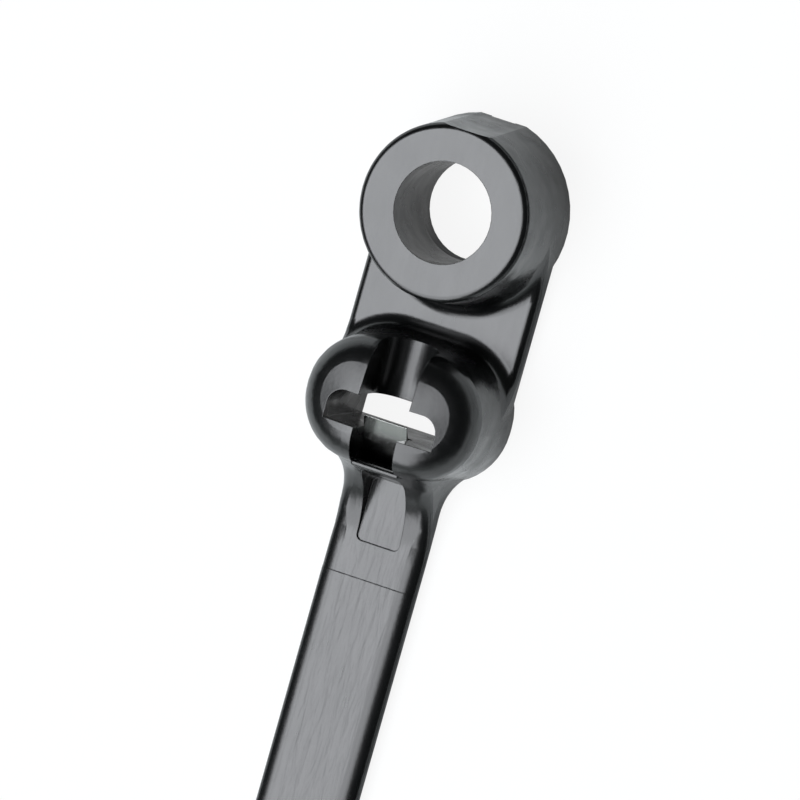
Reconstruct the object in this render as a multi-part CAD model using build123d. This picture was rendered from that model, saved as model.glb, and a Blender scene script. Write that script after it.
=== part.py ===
from build123d import *
from math import cos, radians, sin, sqrt, tan
import os

# Clamp cable tie: a flat strap with a dome-topped locking head and a raised
# screw eyelet, moulded in one piece, and a spring steel barb set in the head.
# Sizes are in millimetres. The origin is the centre of the screw hole on the
# flat back, +Z points away from the surface it is screwed to, and the strap
# runs from the head towards -Y.

# Screw eyelet
hole_diameter = 5.1
eyelet_foot_diameter = 9.58
eyelet_height = 5.32
eyelet_draft = 3.9
eyelet_rim_round = 0.37
end_flat_cut = 0.16
end_flat_draft = 4.3
gate_mark_radius = 0.65
gate_mark_depth = 0.03

# Flat web between the eyelet and the head
web_width = 9.3
web_thickness = 1.05
web_edge_round = 0.45
foot_blend = 0.8

# Locking head, wider at its foot than under its crown
head_distance = 9.97
head_width = 9.5
head_length = 7.1
head_corner = 3.4
head_height = 6.15
side_draft = 1.8
web_side_draft = 6.4
neck_side_draft = 3.7
crown_radius = 14.0
shoulder_round = 1.6

# Strap, and the slot in the head that it is pulled through
strap_width = 5.1
strap_thickness = 1.05
strap_edge_round = 0.45
overall_length = 215.0
tip_taper_length = 24.0
tip_width = 2.8
tip_thickness = 0.8
tip_round = 0.25
slot_side_clearance = 0.38
slot_face_clearance = 0.57
slot_offset = 0.61
slot_corner_round = 0.85

# Channel across the crown, from the slot out through the side by the web
channel_width = 2.75
channel_depth = 3.55
channel_rise = 26.0
channel_floor_round = 0.6

# Neck, where the strap rises into the head
neck_length = 3.84
neck_rise_radius = 4.14
neck_crest_round = 1.5
neck_lean = 12.0
neck_top_round = 1.4
neck_flare_radius = 3.1
neck_step = 0.04
neck_step_ramp = 0.3
neck_lead_in = 0.4
neck_flat_length = 1.4
window_width = 2.3
window_depth = 0.12
window_corner = 0.3
window_end_draft = 11.0
bridge_wall = 0.34
bridge_drop = 1.5

# Steel barb and the open pocket above it
barb_width = 2.5
barb_thickness = 0.25
barb_angle = 42.0
barb_reach = 0.42
barb_tip_drop = 1.6
barb_length = 3.1
pocket_width = 2.36
pocket_wall_set = 0.45

# How far the cutting shapes run past the surface they open
beyond = 2.0

# Places worked out from the sizes above
head_web_side = -head_distance + head_length / 2
head_neck_side = -head_distance - head_length / 2
slot_y = -head_distance - slot_offset
slot_length = strap_width + 2 * slot_side_clearance
slot_width = strap_thickness + slot_face_clearance
slot_web_face = slot_y + slot_width / 2
slot_neck_face = slot_y - slot_width / 2
neck_level = strap_thickness - neck_step
window_level = neck_level - window_depth
eyelet_front_radius = eyelet_foot_diameter / 2 - eyelet_height * tan(radians(eyelet_draft))
pocket_wall_y = head_neck_side + pocket_wall_set
bridge_y = pocket_wall_y - bridge_wall
bridge_round = bridge_wall / 2
bridge_round_z = head_height - bridge_drop - bridge_round
rise_y = head_neck_side - neck_length
neck_start_y = rise_y - neck_lead_in
strap_end = eyelet_foot_diameter / 2 - end_flat_cut - overall_length


def bar_section(half_width, height, lean, foot_round, top_round):
    """Cross-section of the strap or neck, standing on the flat back."""
    top_half_width = half_width - lean
    corners = [(-half_width, 0), (half_width, 0), (top_half_width, height), (-top_half_width, height)]
    section = make_face(Polyline(*corners, close=True))
    low = section.vertices().sort_by(Axis.Y)[:2]
    section = fillet(low, foot_round)
    high = section.vertices().group_by(Axis.Y)[-1]
    return fillet(high, top_round)


def across(y):
    """Plane across the strap at a place along it."""
    return Plane.XZ.offset(-y)


def lengthwise(outline, width):
    """Prism with its ends square across the tie, from (y, z) points of its side view."""
    side = Plane(origin=(-width / 2, 0, 0), x_dir=(0, 1, 0), z_dir=(1, 0, 0))
    return extrude(side * make_face(Polyline(*outline, close=True)), amount=width)


def make_eyelet():
    """Drafted ring with a rounded front rim and a flat at its free end."""
    ring = Cone(
        eyelet_foot_diameter / 2, eyelet_front_radius, eyelet_height,
        align=(Align.CENTER, Align.CENTER, Align.MIN),
    )
    ring = fillet(ring.edges().group_by(Axis.Z)[-1], eyelet_rim_round)
    flat_y = eyelet_foot_diameter / 2 - end_flat_cut
    flat_plane = Plane(origin=(0, flat_y, 0), x_dir=(1, 0, 0), z_dir=(0, 1, 0)).rotated((end_flat_draft, 0, 0))
    ring -= flat_plane * Box(
        eyelet_foot_diameter, 3 * eyelet_height, beyond, align=(Align.CENTER, Align.CENTER, Align.MIN)
    )
    mark = Plane(origin=(0, flat_y, 0), x_dir=(1, 0, 0), z_dir=(0, 1, 0)) * Cylinder(
        gate_mark_radius, 2 * gate_mark_depth
    )
    return ring - mark


def make_head():
    """Head with drafted walls, a spherical crown and a rounded shoulder."""
    foot = Pos(0, -head_distance) * RectangleRounded(head_width, head_length, head_corner)
    side_inset = head_height * tan(radians(side_draft))
    web_inset = head_height * tan(radians(web_side_draft))
    neck_inset = head_height * tan(radians(neck_side_draft))
    top_length = head_length - web_inset - neck_inset
    top_y = -head_distance - (web_inset - neck_inset) / 2
    top = Pos(0, top_y, head_height) * RectangleRounded(
        head_width - 2 * side_inset, top_length, head_corner - (side_inset + web_inset) / 2
    )
    head = loft([foot, top], ruled=True)
    head &= Pos(0, slot_y, head_height - crown_radius) * Sphere(crown_radius)
    rim = head.faces().sort_by(Axis.Z)[-1].edges()
    return fillet(rim, shoulder_round)


def make_neck():
    """Neck that rises from the strap along a concave arc and flares into the corners of the head."""
    corner_x = head_width / 2 - head_corner
    corner_y = head_neck_side + head_corner
    centres = head_corner + neck_flare_radius
    along = sqrt(centres ** 2 - (strap_width / 2 + neck_flare_radius - corner_x) ** 2)
    flare_y = corner_y - along
    meet_y = corner_y - along * head_corner / centres
    stations = [(neck_start_y, neck_level)]
    for degrees in (0, 12, 24, 36, 48, 60, 72):
        angle = radians(degrees)
        y = rise_y + neck_rise_radius * sin(angle)
        stations.append((y, neck_level + neck_rise_radius * (1 - cos(angle))))
    bend_y, bend_height = stations[-1]
    for degrees in (56, 40, 24):
        y = bend_y + neck_crest_round * (sin(angle) - sin(radians(degrees)))
        stations.append((y, bend_height + neck_crest_round * (cos(radians(degrees)) - cos(angle))))
    full_rise = stations[-1][1] - neck_level
    sections = []
    for y, height in stations:
        share = (height - neck_level) / full_rise
        flare = min(max(0, y - flare_y), meet_y - flare_y)
        spread = neck_flare_radius - sqrt(neck_flare_radius ** 2 - flare ** 2)
        half_width = strap_width / 2 + spread
        lean = (height - neck_level) * tan(radians(neck_lean))
        top_round = strap_edge_round + (neck_top_round - strap_edge_round) * share
        sections.append(across(y) * bar_section(half_width, height, lean, strap_edge_round, top_round))
    return loft(sections)


def make_strap():
    """Strap from under the neck to its tapered tip, with the shallow step below the neck."""
    step_y = neck_start_y - neck_flat_length
    full_y = step_y - neck_step_ramp
    taper_y = strap_end + tip_taper_length
    low = bar_section(strap_width / 2, neck_level, 0, strap_edge_round, strap_edge_round)
    full = bar_section(strap_width / 2, strap_thickness, 0, strap_edge_round, strap_edge_round)
    tip_edge_round = strap_edge_round * tip_thickness / strap_thickness
    tip = bar_section(tip_width / 2, tip_thickness, 0, tip_edge_round, tip_edge_round)
    strap = extrude(across(neck_start_y) * low, amount=neck_flat_length)
    strap += loft([across(step_y) * low, across(full_y) * full], ruled=True)
    strap += extrude(across(full_y) * full, amount=full_y - taper_y)
    point = loft([across(taper_y) * full, across(strap_end) * tip], ruled=True)
    point = fillet(point.faces().sort_by(Axis.Y)[0].edges(), tip_round)
    return strap + point


def blend_to_web(shape):
    """Concave blend at the foot of the eyelet or the head, where it stands on the web."""
    reach = 2 * (head_distance + eyelet_foot_diameter)
    plate = Pos(0, -head_distance / 2, web_thickness / 2) * Box(reach, reach, web_thickness)
    joined = shape + plate
    level = joined.faces().filter_by(Plane.XY).filter_by_position(Axis.Z, web_thickness, web_thickness)
    seam = level.sort_by(SortBy.AREA)[-1].inner_wires()[0].edges()
    joined = fillet(seam, foot_blend)
    keep = Box(web_width, head_distance, 3 * web_thickness, align=(Align.CENTER, Align.MAX, Align.MIN))
    return joined & keep


def make_web(eyelet, head):
    """Web between the middles of the eyelet and the head, blended up to both, its long edges rounded."""
    web = blend_to_web(eyelet) + blend_to_web(head)
    sides = web.faces().sort_by(Axis.X)
    long_edges = (sides[0].edges() + sides[-1].edges()).filter_by(Axis.Z, reverse=True)
    return fillet(long_edges, web_edge_round)


def make_barb():
    """Steel strip that leans up into the slot, its root gripped by the head."""
    tip_y = slot_neck_face + barb_reach
    tip_z = head_height - barb_tip_drop
    strip = Rectangle(barb_length, barb_thickness, align=(Align.MAX, Align.MAX))
    side = Plane(origin=(-barb_width / 2, tip_y, tip_z), x_dir=(0, 1, 0), z_dir=(1, 0, 0))
    return extrude(side * (Rot(0, 0, barb_angle) * strip), amount=barb_width)


def cut_slot():
    """Slot for the strap, straight through the head, its corners rounded on the web side."""
    plan = Rectangle(slot_length, slot_width)
    plan = fillet(plan.vertices().group_by(Axis.Y)[-1], slot_corner_round)
    return extrude(Pos(0, slot_y, -beyond) * plan, amount=head_height + 2 * beyond)


def cut_channel():
    """Channel across the crown, its floor rising from the slot to the side by the web."""
    rise = radians(channel_rise)
    floor_z = head_height - channel_depth - (slot_web_face - slot_y) * tan(rise)
    section = Pos(0, floor_z) * Rectangle(
        channel_width, channel_depth + beyond, align=(Align.CENTER, Align.MIN)
    )
    section = fillet(section.vertices().group_by(Axis.Y)[0], channel_floor_round)
    run = (head_web_side - slot_y) / cos(rise)
    return extrude(across(slot_y) * section, amount=run, dir=(0, cos(rise), sin(rise)))


def cut_pocket():
    """Pocket above the barb, open to the slot and above the bridge, its sloping floor under the barb."""
    tip_y = slot_neck_face + barb_reach
    tip_z = head_height - barb_tip_drop
    slope = tan(radians(barb_angle))
    under_tip_z = tip_z - barb_thickness / cos(radians(barb_angle))
    outline = [
        (slot_y, head_height + beyond),
        (slot_y, under_tip_z + (slot_y - tip_y) * slope),
        (pocket_wall_y, under_tip_z + (pocket_wall_y - tip_y) * slope),
        (pocket_wall_y, bridge_round_z),
        (bridge_y - beyond, bridge_round_z),
        (bridge_y - beyond, head_height + beyond),
    ]
    return lengthwise(outline, pocket_width)


def cut_window():
    """Shallow window along the neck, up to the drafted outer face of the bridge."""
    slope = tan(radians(window_end_draft))
    top_z = head_height + beyond
    outline = [
        (rise_y, window_level),
        (bridge_y - (bridge_round_z - window_level) * slope, window_level),
        (bridge_y + (top_z - bridge_round_z) * slope, top_z),
        (rise_y, top_z),
    ]
    window = lengthwise(outline, window_width)
    near_end, *_, far_end = window.faces().sort_by(Axis.Y)
    corners = (near_end.edges() + far_end.edges()).filter_by(Axis.X, reverse=True)
    return fillet(corners, window_corner)


def make_bridge():
    """Thin wall between the pocket and the window, with a half-round top and round ends."""
    foot = Pos(0, bridge_y + bridge_round, window_level)
    bridge = foot * extrude(SlotCenterToCenter(pocket_width, bridge_wall), amount=bridge_round_z - window_level)
    top = Pos(0, bridge_y + bridge_round, bridge_round_z)
    bridge += top * Rot(0, 90, 0) * Cylinder(bridge_round, pocket_width)
    for end_x in (-pocket_width / 2, pocket_width / 2):
        bridge += top * Pos(end_x, 0, 0) * Sphere(bridge_round)
    return bridge


def make_tie_body(barb):
    """The whole moulding, with the seat of the barb cut from the barb's own shape."""
    eyelet = make_eyelet()
    head = make_head()
    body = make_strap() + make_neck()
    body += make_web(eyelet, head)
    body += eyelet
    body += head
    body -= Pos(0, 0, eyelet_height / 2) * Cylinder(hole_diameter / 2, eyelet_height + 2 * beyond)
    body -= cut_slot()
    body -= cut_channel()
    body -= cut_pocket()
    body -= cut_window()
    body += make_bridge()
    return body - barb


os.makedirs("parts", exist_ok=True)
locking_barb = make_barb()
tie_body = make_tie_body(locking_barb)
export_step(tie_body, "parts/tie_body.step")
export_step(locking_barb, "parts/locking_barb.step")
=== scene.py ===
import bmesh
import bpy
import math
from mathutils import Matrix, Vector


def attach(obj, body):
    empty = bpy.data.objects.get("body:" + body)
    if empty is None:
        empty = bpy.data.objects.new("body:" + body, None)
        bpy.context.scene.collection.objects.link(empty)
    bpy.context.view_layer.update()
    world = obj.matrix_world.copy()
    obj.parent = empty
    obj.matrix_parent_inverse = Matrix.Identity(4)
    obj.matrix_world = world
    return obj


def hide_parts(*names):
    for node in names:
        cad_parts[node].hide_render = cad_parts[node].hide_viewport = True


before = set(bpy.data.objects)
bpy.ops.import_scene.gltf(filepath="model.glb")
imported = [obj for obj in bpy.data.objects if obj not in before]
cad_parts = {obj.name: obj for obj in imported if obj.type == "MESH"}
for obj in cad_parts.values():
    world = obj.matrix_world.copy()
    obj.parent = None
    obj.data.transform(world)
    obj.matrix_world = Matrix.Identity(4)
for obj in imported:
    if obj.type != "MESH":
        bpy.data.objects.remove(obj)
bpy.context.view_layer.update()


# Camera. The photograph looks down on the head and the eyelet, past the strap that leaves the
# picture, through a long lens. The eyelet's centre and the head set the aim.
mm = 0.001
view_azimuth = math.radians(113.75)
view_elevation = math.radians(70.29)
view_roll = math.radians(-96.68)
aim = Vector((-0.428, -9.897, 2.414)) * mm
picture_width = 39.38 * mm

turn = (
    Matrix.Rotation(view_azimuth, 3, "Z")
    @ Matrix.Rotation(math.pi / 2 - view_elevation, 3, "X")
    @ Matrix.Rotation(view_roll, 3, "Z")
)
camera_data = bpy.data.cameras.new("camera")
camera_data.lens = 1500
camera_distance = picture_width * camera_data.lens / camera_data.sensor_width
camera_data.clip_start = camera_distance / 100
camera_data.clip_end = camera_distance * 10
camera = bpy.data.objects.new("camera", camera_data)
camera.matrix_world = Matrix.Translation(aim + turn.col[2] * camera_distance) @ turn.to_4x4()
bpy.context.scene.collection.objects.link(camera)
bpy.context.scene.camera = camera


# Moulding. The strap, neck, head, web and eyelet are one shot of black nylon, from one gate at
# the eyelet's flat end. The skin is satin. It has flow lines along the strap, a fine grain all
# over, and soft waves on the upright walls, where the nylon shrank on the mould.
class Socket:
    """A shader socket that takes the plain operators, each one adding its Math node."""

    def __init__(self, tree, socket):
        self.tree = tree
        self.socket = socket

    def math(self, operation, *values):
        return node(self.tree, "ShaderNodeMath", *values, operation=operation)[0]

    def __add__(self, other):
        return self.math("ADD", self, other)

    def __sub__(self, other):
        return self.math("SUBTRACT", self, other)

    def __rsub__(self, other):
        return self.math("SUBTRACT", other, self)

    def __mul__(self, other):
        return self.math("MULTIPLY", self, other)

    def __truediv__(self, other):
        return self.math("DIVIDE", self, other)

    __radd__ = __add__
    __rmul__ = __mul__

    def power(self, other):
        return self.math("POWER", self, other)

    def size(self):
        return self.math("ABSOLUTE", self)

    def sign(self):
        return self.math("SIGN", self)

    def above(self, other):
        return self.math("GREATER_THAN", self, other)

    def at_least(self, other):
        return self.math("MAXIMUM", self, other)

    def at_most(self, other):
        return self.math("MINIMUM", self, other)

    def between(self, low, high):
        return self.at_least(low).at_most(high)


def node(tree, kind, *values, links=None, **settings):
    """Adds a node, sets its settings, fills its sockets and returns its outputs."""
    made = tree.nodes.new(kind)
    for name, value in settings.items():
        setattr(made, name, value)
    filled = dict(enumerate(values))
    filled.update(links or {})
    for key, value in filled.items():
        if isinstance(value, Socket):
            tree.links.new(value.socket, made.inputs[key])
        else:
            made.inputs[key].default_value = value
    return [Socket(tree, output) for output in made.outputs]


def new_material(name):
    """An empty material and its node tree."""
    material = bpy.data.materials.new(name)
    material.use_nodes = True
    material.node_tree.nodes.clear()
    return material, material.node_tree


strap_top = 1.0 * mm
dark_nylon = (0.0016, 0.0018, 0.0019, 1.0)
pale_nylon = (0.0034, 0.0038, 0.004, 1.0)
streak_scale = (3000.0, 420.0, 3000.0)
grain_scale = 5200.0
wave_scale = 620.0

nylon, tree = new_material("black_nylon")
coordinates = node(tree, "ShaderNodeTexCoord")
place = coordinates[3]
x, y, z = node(tree, "ShaderNodeSeparateXYZ", place)
upward = node(tree, "ShaderNodeSeparateXYZ", coordinates[1])[2]
upright = node(tree, "ShaderNodeMapRange", upward.size(), 0.05, 0.5, 1.0, 0.0)[0]
along = node(tree, "ShaderNodeMapping", links={"Vector": place, "Scale": streak_scale})[0]
flow_lines = node(
    tree, "ShaderNodeTexNoise",
    links={"Vector": along, "Scale": 1.0, "Detail": 3.0, "Distortion": 0.6},
)[0]
on_strap = node(tree, "ShaderNodeMapRange", y, -13.0 * mm, -17.0 * mm, 0.15, 1.0)[0]
off_rolls = node(tree, "ShaderNodeMapRange", x.size(), 1.5 * mm, 1.8 * mm, 1.0, 0.0)[0]
grain = node(
    tree, "ShaderNodeTexNoise", links={"Vector": place, "Scale": grain_scale, "Detail": 2.0}
)[0]
waves = node(
    tree, "ShaderNodeTexNoise", links={"Vector": place, "Scale": wave_scale, "Detail": 1.0}
)[0]
tint = node(
    tree, "ShaderNodeMix", data_type="RGBA", links={0: waves, 6: dark_nylon, 7: pale_nylon}
)[2]
past_neck = node(tree, "ShaderNodeMapRange", y, -13.5 * mm, -15.5 * mm, 0.0, 1.0)[0]
off_eyelet = node(tree, "ShaderNodeMapRange", y, -1.0 * mm, -2.5 * mm, 0.0, 1.0)[0]
off_head = node(tree, "ShaderNodeMapRange", y, -7.5 * mm, -6.0 * mm, 0.0, 1.0)[0]
low_sides = upright * (1.0 - z.above(strap_top)) * (past_neck + off_eyelet * off_head)
skin = 0.2 + 0.05 * flow_lines + 0.06 * waves
sheen = skin + 0.3 * upright * (waves - 0.5) + 0.35 * low_sides
streaks = 10.0 * flow_lines * on_strap * off_rolls * (1.0 - upright)
relief = streaks + 1.1 * grain + 34.0 * waves * upright


# The solid's mesh has long facets on the blends round the two feet and on the eyelet's rim. The
# true facing of those roundings is worked out from their sizes instead.
def foot_blend(out_x, out_y, blend_edge):
    """How far out a point is, and how the concave blend round a foot leans there."""
    out = (out_x * out_x + out_y * out_y).power(0.5)
    lean = ((blend_edge - out) * (1 / blend_radius)).between(0.0, steepest_blend)
    return out, lean * out_x / out, lean * out_y / out


blend_radius = 0.8 * mm
blend_bottom = 0.9 * mm
blend_top = 1.8 * mm
steepest_blend = 0.99
web_flat_half_width = 4.2 * mm
head_flat_half_width = 1.425 * mm
head_corner_y = -9.895 * mm
head_middle_y = -9.8 * mm
head_wall = 3.2 * mm
head_blend_edge = 4.07 * mm
eyelet_wall = 4.6 * mm
eyelet_blend_edge = 5.466 * mm
head_out_x = x.sign() * (x.size() - head_flat_half_width).at_least(0.0)
head_out_y = (y - head_corner_y).at_least(0.0)
from_head, head_x, head_y = foot_blend(head_out_x, head_out_y, head_blend_edge)
from_eyelet, eyelet_x, eyelet_y = foot_blend(x, y.at_most(0.0), eyelet_blend_edge)
lean_x = head_x + eyelet_x
lean_y = head_y + eyelet_y
lean_z = (1.0 - lean_x * lean_x - lean_y * lean_y).at_least(0.0).power(0.5)
blends = node(tree, "ShaderNodeCombineXYZ", lean_x, lean_y, lean_z)[0]
on_blends = (
    z.above(blend_bottom) * (1.0 - z.above(blend_top))
    * (1.0 - x.size().above(web_flat_half_width)) * y.above(head_middle_y)
    * from_head.above(head_wall) * from_eyelet.above(eyelet_wall)
)

rim_radius = 0.37 * mm
rim_inner_edge = 4.082 * mm
rim_bottom = 4.98 * mm
steepest_rim = 0.9977
past_hole = 2.7 * mm
end_flat_y = 4.15 * mm
eyelet_foot_y = -5.0 * mm
from_hole = (x * x + y * y).power(0.5)
rim_out = ((from_hole - rim_inner_edge) * (1 / rim_radius)).between(0.0, steepest_rim)
rim = node(
    tree, "ShaderNodeCombineXYZ",
    rim_out * x / from_hole, rim_out * y / from_hole, (1.0 - rim_out * rim_out).power(0.5),
)[0]
on_rim = (
    z.above(rim_bottom) * from_hole.above(past_hole)
    * (1.0 - y.above(end_flat_y)) * y.above(eyelet_foot_y)
)

softened_edge = 0.06 * mm
edges = node(tree, "ShaderNodeBevel", softened_edge, samples=6)[0]
facing = node(
    tree, "ShaderNodeMix", data_type="VECTOR", links={0: on_blends, 4: edges, 5: blends}
)[1]
facing = node(tree, "ShaderNodeMix", data_type="VECTOR", links={0: on_rim, 4: facing, 5: rim})[1]
bump = node(
    tree, "ShaderNodeBump",
    links={"Strength": 0.3, "Distance": 0.01 * mm, "Height": relief, "Normal": facing},
)[0]
surface = node(
    tree, "ShaderNodeBsdfPrincipled",
    links={"Base Color": tint, "Roughness": sheen, "IOR": 1.6, "Normal": bump},
)[0]
node(tree, "ShaderNodeOutputMaterial", surface)

# The moulding's mesh is a copy of the solid's, with its own facings kept at each corner. The
# strap's long upper edges roll off wider in it, and the step below the neck is steeper.
strap_side = 2.55 * mm
strap_round_x = 2.1 * mm
strap_flat_x = 1.2 * mm
strap_half_height = 0.5 * mm
roll_start = -15.8 * mm
roll_in = 1.5 * mm
roll_end = -186.4 * mm
step_foot = -19.16 * mm
step_head = -19.46 * mm
steep_step_head = -19.22 * mm
step_turn = 0.1
same_point = 0.0001 * mm
hair = 0.001 * mm
close = 0.01 * mm

moulding_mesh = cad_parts["tie_body"].data.copy()
moulding_mesh.name = "nylon_moulding"
solid_facings = [corner.vector.copy() for corner in moulding_mesh.corner_normals]
shape = bmesh.new()
shape.from_mesh(moulding_mesh)
kept = shape.loops.layers.float_vector.new("facing")
all_corners = (corner for face in shape.faces for corner in face.loops)
for corner, solid_facing in zip(all_corners, solid_facings):
    corner[kept] = solid_facing
bmesh.ops.remove_doubles(shape, verts=shape.verts, dist=same_point)
for vert in shape.verts:
    if vert.co.z < strap_half_height or not roll_end < vert.co.y < roll_start:
        continue
    widen = 1 + min((roll_start - vert.co.y) / roll_in, 1)
    side = abs(vert.co.x)
    rolled_start = strap_side - (strap_side - strap_round_x) * widen
    if side > strap_round_x - hair:
        vert.co.x = math.copysign(strap_side - (strap_side - side) * widen, vert.co.x)
        for corner in vert.link_loops:
            lean = corner[kept]
            corner[kept] = Vector((lean.x / widen, lean.y, lean.z)).normalized()
    elif side > strap_flat_x:
        share = (side - strap_flat_x) / (strap_round_x - strap_flat_x)
        vert.co.x = math.copysign(strap_flat_x + (rolled_start - strap_flat_x) * share, vert.co.x)
    if abs(vert.co.y - step_head) < close:
        vert.co.y = steep_step_head

# The channel in the crown is a round trough, nearly level. The solid's flat floor with small
# rounds is brought to that: its rounds grow until they nearly meet, and its outer end comes down.
channel_side = 1.375 * mm
channel_start = -9.77 * mm
channel_run = 2.95 * mm
solid_round = 0.6 * mm
round_growth = 2.2
solid_floor = 2.6 * mm
solid_rise = math.radians(26)
level_floor = 2.65 * mm
level_rise = math.radians(6)
wall_draft = 0.112

channel_floor = set()
for vert in shape.verts:
    out = vert.co.y - channel_start
    over_floor = vert.co.z - solid_floor - out * math.tan(solid_rise)
    inside = abs(vert.co.x) < channel_side + hair and -hair < out < channel_run
    if inside and -close < over_floor < solid_round + close:
        drop = solid_floor - level_floor + out * (math.tan(solid_rise) - math.tan(level_rise))
        drop += max(over_floor, 0) * (1 - round_growth)
        vert.co.z -= drop
        if abs(vert.co.x) > channel_side - solid_round - hair:
            from_wall = channel_side - abs(vert.co.x)
            vert.co.x = math.copysign(channel_side - from_wall * round_growth, vert.co.x)
        if out > channel_run / 2:
            vert.co.y += drop * wall_draft
        channel_floor.add(vert)

# The kept facings turn with the floor, and those on the step lean some way into its new slope.
levelling = Matrix.Rotation(level_rise - solid_rise, 3, "X")
shape.normal_update()
for face in shape.faces:
    if channel_floor.issuperset(face.verts):
        for corner in face.loops:
            corner[kept] = levelling @ corner[kept]
    reach = [vert.co.y for vert in face.verts]
    on_step = min(reach) > steep_step_head - close and max(reach) < step_foot + close
    if on_step and face.normal.y > step_turn:
        for corner in face.loops:
            corner[kept] = (3 * corner[kept] + face.normal).normalized()
shape.to_mesh(moulding_mesh)
shape.free()
moulding_mesh.shade_smooth()
kept_facings = [tuple(corner.vector) for corner in moulding_mesh.attributes["facing"].data]
moulding_mesh.normals_split_custom_set(kept_facings)
moulding_mesh.attributes.remove(moulding_mesh.attributes["facing"])
moulding_mesh.materials.clear()
moulding_mesh.materials.append(nylon)
moulding = bpy.data.objects.new("nylon_moulding", moulding_mesh)
bpy.context.scene.collection.objects.link(moulding)
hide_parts("tie_body")
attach(moulding, "root")


# Barb. A short strip of rolled spring steel, bent so that its tip stands up in the slot, and
# ground thinner from below at the tip. It is pressed into the head, whose wall grips its root. It
# has fine rolling marks along its length, and its colour is painted darker toward its root as
# painted shade, for the pocket's shade where it sits.
barb_half_width = 1.17 * mm
barb_thickness = 0.25 * mm
barb_side_view = [(-10.62, 4.819), (-11.97, 3.783), (-13.07, 2.66), (-13.274, 2.476)]
bend_reach = 0.2 * mm
tip_grind = Vector((0, -0.61, 0.79)) * 0.19 * mm
broken_edge = 0.012 * mm
bright_steel = (0.53, 0.53, 0.51, 1.0)
dull_steel = (0.42, 0.43, 0.42, 1.0)
# Painted shade: the near-black colour that the barb's root half fades to.
painted_root_shade = (0.04, 0.04, 0.042, 1.0)
rolling_scale = (9000.0, 300.0, 300.0)

barb_mesh = bpy.data.meshes.new("steel_barb")
strip = bmesh.new()
corners = [strip.verts.new((-barb_half_width, y * mm, z * mm)) for y, z in barb_side_view]
edges = [strip.edges.new(pair) for pair in zip(corners, corners[1:])]
swept = bmesh.ops.extrude_edge_only(strip, edges=edges)["geom"]
moved = [part for part in swept if isinstance(part, bmesh.types.BMVert)]
bmesh.ops.translate(strip, verts=moved, vec=(2 * barb_half_width, 0, 0))
bends = [edge for edge in strip.edges if len(edge.link_faces) == 2]
bmesh.ops.bevel(
    strip, geom=bends, offset=bend_reach, segments=5, profile=0.5, affect="EDGES", material=-1
)
bmesh.ops.recalc_face_normals(strip, faces=strip.faces)
if sum(face.normal.z for face in strip.faces) > 0:
    bmesh.ops.reverse_faces(strip, faces=strip.faces)
bmesh.ops.solidify(strip, geom=strip.faces, thickness=barb_thickness)
bmesh.ops.recalc_face_normals(strip, faces=strip.faces)
tip_underside = sorted(strip.verts, key=lambda vert: vert.co.y)[-2:]
bmesh.ops.translate(strip, verts=tip_underside, vec=tip_grind)
sharp = [edge for edge in strip.edges if edge.calc_face_angle() > math.radians(60)]
bmesh.ops.bevel(
    strip, geom=sharp, offset=broken_edge, segments=2, profile=0.5, affect="EDGES", material=-1
)
strip.to_mesh(barb_mesh)
strip.free()
barb_mesh.shade_smooth()
barb = bpy.data.objects.new("steel_barb", barb_mesh)
bpy.context.scene.collection.objects.link(barb)
barb.modifiers.new("even_faces", "WEIGHTED_NORMAL")

steel, tree = new_material("spring_steel")
place = node(tree, "ShaderNodeTexCoord")[3]
height = node(tree, "ShaderNodeSeparateXYZ", place)[2]
# Painted shade: below 4 mm up, the steel's colour fades to near black, standing in for the
# pocket's shade.
clear_of_root_shade = node(tree, "ShaderNodeMapRange", height, 3.3 * mm, 4.0 * mm, 0.0, 1.0)[0]
rolled = node(tree, "ShaderNodeMapping", links={"Vector": place, "Scale": rolling_scale})[0]
marks = node(tree, "ShaderNodeTexNoise", links={"Vector": rolled, "Scale": 1.0, "Detail": 4.0})[0]
colour = node(
    tree, "ShaderNodeMix", data_type="RGBA", links={0: marks, 6: dull_steel, 7: bright_steel}
)[2]
colour = node(
    tree, "ShaderNodeMix", data_type="RGBA", links={0: clear_of_root_shade, 6: painted_root_shade, 7: colour}
)[2]
bump = node(
    tree, "ShaderNodeBump", links={"Strength": 0.12, "Distance": 0.01 * mm, "Height": marks}
)[0]
sheen = 0.16 + 0.08 * marks
surface = node(
    tree, "ShaderNodeBsdfPrincipled",
    links={"Base Color": colour, "Metallic": 1.0, "Roughness": sheen, "Normal": bump},
)[0]
node(tree, "ShaderNodeOutputMaterial", surface)
barb_mesh.materials.append(steel)
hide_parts("locking_barb")
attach(barb, "root")


# Floor. A sheet of white paper, on which the tie lies flat on its back. The paper shows white to
# the camera and in the gloss of the tie, and keeps the tie's shadow.
floor_half_size = 2.0
paper_colour = (0.8, 0.84, 0.84, 1.0)
white = (1.0, 1.0, 1.0, 1.0)

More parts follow.
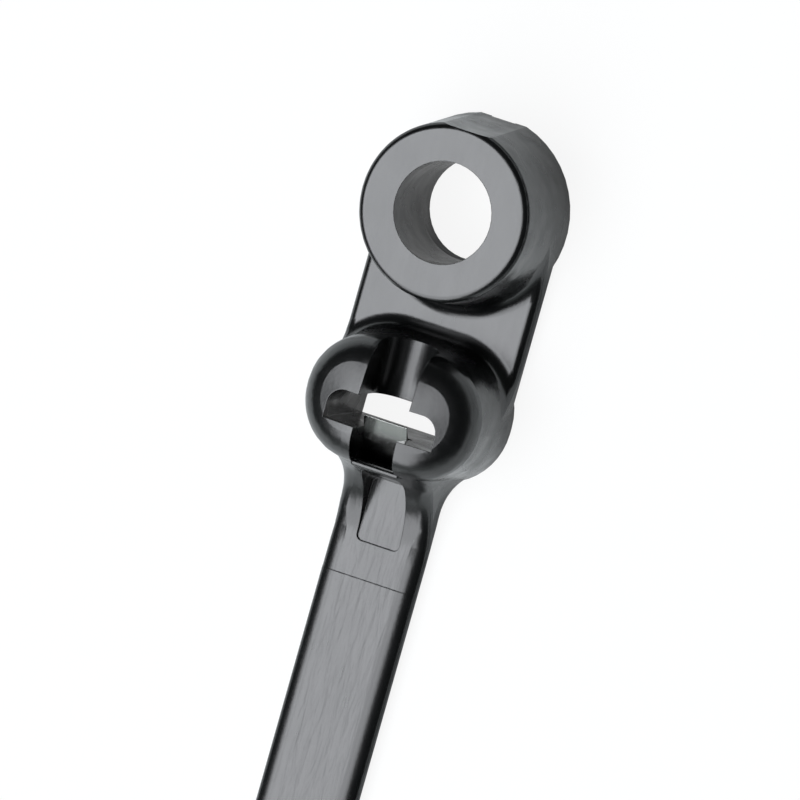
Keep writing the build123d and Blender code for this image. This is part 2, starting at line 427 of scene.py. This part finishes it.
floor_mesh = bpy.data.meshes.new("floor")
sheet = bmesh.new()
bmesh.ops.create_grid(sheet, x_segments=1, y_segments=1, size=floor_half_size)
sheet.to_mesh(floor_mesh)
sheet.free()
floor = bpy.data.objects.new("floor", floor_mesh)
bpy.context.scene.collection.objects.link(floor)
paper, tree = new_material("white_paper")
rays = node(tree, "ShaderNodeLightPath")
whitened = 0.9 * rays[0] + 0.3 * rays[3] + 0.3 * rays[6]
matt = node(tree, "ShaderNodeBsdfDiffuse", paper_colour)[0]
glow = node(tree, "ShaderNodeEmission", white, 1.0)[0]
mixed = node(tree, "ShaderNodeMixShader", whitened, matt, glow)[0]
node(tree, "ShaderNodeOutputMaterial", mixed)
floor_mesh.materials.append(paper)


# Light. A wide soft box hangs level over the tie and out past its left side, and a smaller one
# under it brightens the part that the flat faces mirror to the camera. The surround is dark above,
# and pale low down, most of all beyond the strap's end, where the upright walls mirror it.
def soft_box(name, low, high, height, radiance):
    """A level area light that faces down and spans two corners, given in metres."""
    data = bpy.data.lights.new(name, "AREA")
    data.shape = "RECTANGLE"
    data.size = high[0] - low[0]
    data.size_y = high[1] - low[1]
    data.energy = radiance * math.pi * data.size * data.size_y
    data.color = lamp_colour
    lamp = bpy.data.objects.new(name, data)
    lamp.location = ((low[0] + high[0]) / 2, (low[1] + high[1]) / 2, height)
    lamp.visible_camera = False
    bpy.context.scene.collection.objects.link(lamp)


lamp_colour = (0.94, 0.963, 1.0)
surround_colour = (0.92, 1.0, 1.0, 1.0)
soft_box("wide_soft_box", (-0.9, -2.3), (0.12, 0.18), height=1.0, radiance=4.8)
soft_box("small_soft_box", (-0.62, -0.42), (-0.24, 0.12), height=0.95, radiance=2.4)

world = bpy.data.worlds.new("world")
world.use_nodes = True
tree = world.node_tree
tree.nodes.clear()
toward = node(tree, "ShaderNodeSeparateXYZ", node(tree, "ShaderNodeTexCoord")[0])
smooth = {"interpolation_type": "SMOOTHSTEP"}
foot = node(tree, "ShaderNodeMapRange", toward[2], 0.0, 0.05, 0.9, 0.045, **smooth)[0]
beyond_strap = node(tree, "ShaderNodeMapRange", toward[1], -0.5, -0.9, 0.0, 0.42, **smooth)[0]
lowness = node(tree, "ShaderNodeMapRange", toward[2], 0.2, 0.5, 1.0, 0.0, **smooth)[0]
brightness = foot + beyond_strap * lowness
surround = node(tree, "ShaderNodeBackground", surround_colour, brightness)[0]
backdrop = node(tree, "ShaderNodeBackground", white, 1.0)[0]
seen = node(tree, "ShaderNodeLightPath")[0]
mixed = node(tree, "ShaderNodeMixShader", seen, surround, backdrop)[0]
node(tree, "ShaderNodeOutputWorld", mixed)
bpy.context.scene.world = world

bpy.context.scene.view_settings.view_transform = "Standard"
